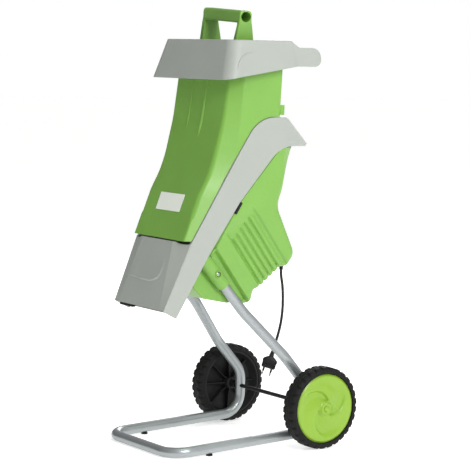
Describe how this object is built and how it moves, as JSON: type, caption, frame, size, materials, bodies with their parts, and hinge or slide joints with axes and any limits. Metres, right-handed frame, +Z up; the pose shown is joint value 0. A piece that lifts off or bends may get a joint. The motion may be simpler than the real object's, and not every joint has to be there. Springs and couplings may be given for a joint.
{
  "type": "wood chipper",
  "caption": "Electric garden shredder: tapering feed hopper with lift-out tamper, slanted motor casing and discharge chute on a bent-tube frame with wheels.",
  "frame": {"origin": "on the ground, under the middle of the machine's bounding box (cord and plug not counted)", "axes": "+Z up, -Y towards the discharge chute at the front, X along the wheel axle (-X is the side with the switch)"},
  "size_m": [0.4496, 0.5009, 1.0596],
  "materials": {
    "green_plastic": "satin moulded green",
    "grey_plastic": "fine-grained light grey",
    "wheel_green": "glossy yellow-green",
    "black_plastic": "moulded black",
    "rubber": "matt black",
    "tyre": "matt black tread",
    "cord_black": "flexible black sheath",
    "painted_tube": "silver powder coat",
    "steel": "bright zinc",
    "core_steel": "dark steel",
    "copper": "bare copper",
    "brass": "bare brass",
    "label_white": "printed plate, blank",
    "red_plastic": "glossy red",
    "button_green": "glossy dark green"
  },
  "bodies": {
    "chassis": {"frame_tube": "painted_tube", "axle": "black_plastic", "axle_clip_left": "steel", "axle_clip_right": "steel", "wheel_spacer_left": "black_plastic", "wheel_spacer_right": "black_plastic", "foot_stud_left": "rubber", "foot_stud_right": "rubber", "motor_housing": "green_plastic", "leg_screw_left": "steel", "leg_screw_right": "steel", "side_band_left": "grey_plastic", "side_band_right": "grey_plastic", "rear_bridge": "grey_plastic", "chute_cover": "grey_plastic", "chute_floor": "grey_plastic", "chute_lip": "rubber", "hinge_pin": "steel", "motor_plate": "steel", "front_bearing": "steel", "stator_core": "core_steel", "brush_left": "brass", "brush_right": "brass", "rear_bearing": "steel", "rear_bracket": "steel", "switch_frame": "black_plastic", "strain_relief": "cord_black", "mains_cord": "cord_black", "plug_body": "cord_black", "plug_pin_left": "steel", "plug_pin_right": "steel"},
    "wheel_left": {"tyre_left": "tyre", "wheel_rim_left": "black_plastic", "wheel_disc_left": "wheel_green"},
    "wheel_right": {"tyre_right": "tyre", "wheel_rim_right": "black_plastic", "wheel_disc_right": "wheel_green"},
    "rotor": {"blade_disc": "core_steel", "blade_1": "steel", "blade_2": "steel", "blade_screw_1": "steel", "blade_screw_2": "steel", "disc_nut": "steel", "motor_shaft": "steel", "cooling_fan": "black_plastic", "rotor_core": "core_steel", "commutator": "copper"},
    "hopper": {"feed_funnel": "green_plastic", "hopper_hood": "grey_plastic", "transport_bar": "black_plastic", "feed_plate": "steel", "counter_blade": "steel", "label_plate": "label_white"},
    "tamper": {"tamper": "green_plastic"},
    "knob": {"locking_knob": "black_plastic", "locking_bolt": "steel"},
    "start_button": {"start_button": "button_green"},
    "stop_button": {"stop_button": "red_plastic"},
    "reset_button": {"reset_button": "black_plastic"}
  },
  "joints": [
    {"name": "wheel_left_spin", "type": "hinge", "parent": "chassis", "child": "wheel_left", "pos_m": [-0.199, 0.1505, 0.1], "axis": [1, 0, 0], "continuous": true},
    {"name": "wheel_right_spin", "type": "hinge", "parent": "chassis", "child": "wheel_right", "pos_m": [0.199, 0.1505, 0.1], "axis": [1, 0, 0], "continuous": true},
    {"name": "rotor_spin", "type": "hinge", "parent": "chassis", "child": "rotor", "pos_m": [0, -0.0795, 0.616], "axis": [0, -0.8, 0.6], "continuous": true},
    {"name": "hopper_tip", "type": "hinge", "parent": "chassis", "child": "hopper", "pos_m": [0, -0.1877, 0.51], "axis": [1, 0, 0], "range_deg": [0, 75]},
    {"name": "tamper_lift", "type": "slide", "parent": "hopper", "child": "tamper", "axis": [0, 0, 1], "range_m": [0, 0.25]},
    {"name": "knob_turn", "type": "hinge", "parent": "chassis", "child": "knob", "pos_m": [0, 0.1065, 0.7685], "axis": [0, 0.7071, 0.7071], "range_deg": [0, 1080]},
    {"name": "start_press", "type": "slide", "parent": "chassis", "child": "start_button", "axis": [0.9982, 0, 0.0599], "range_m": [0, 0.003], "stiffness_N_per_m": 400},
    {"name": "stop_press", "type": "slide", "parent": "chassis", "child": "stop_button", "axis": [0.9982, 0, 0.0599], "range_m": [0, 0.003], "stiffness_N_per_m": 400},
    {"name": "reset_press", "type": "slide", "parent": "chassis", "child": "reset_button", "axis": [0.9982, 0, 0.0599], "range_m": [0, 0.003], "stiffness_N_per_m": 400}
  ]
}
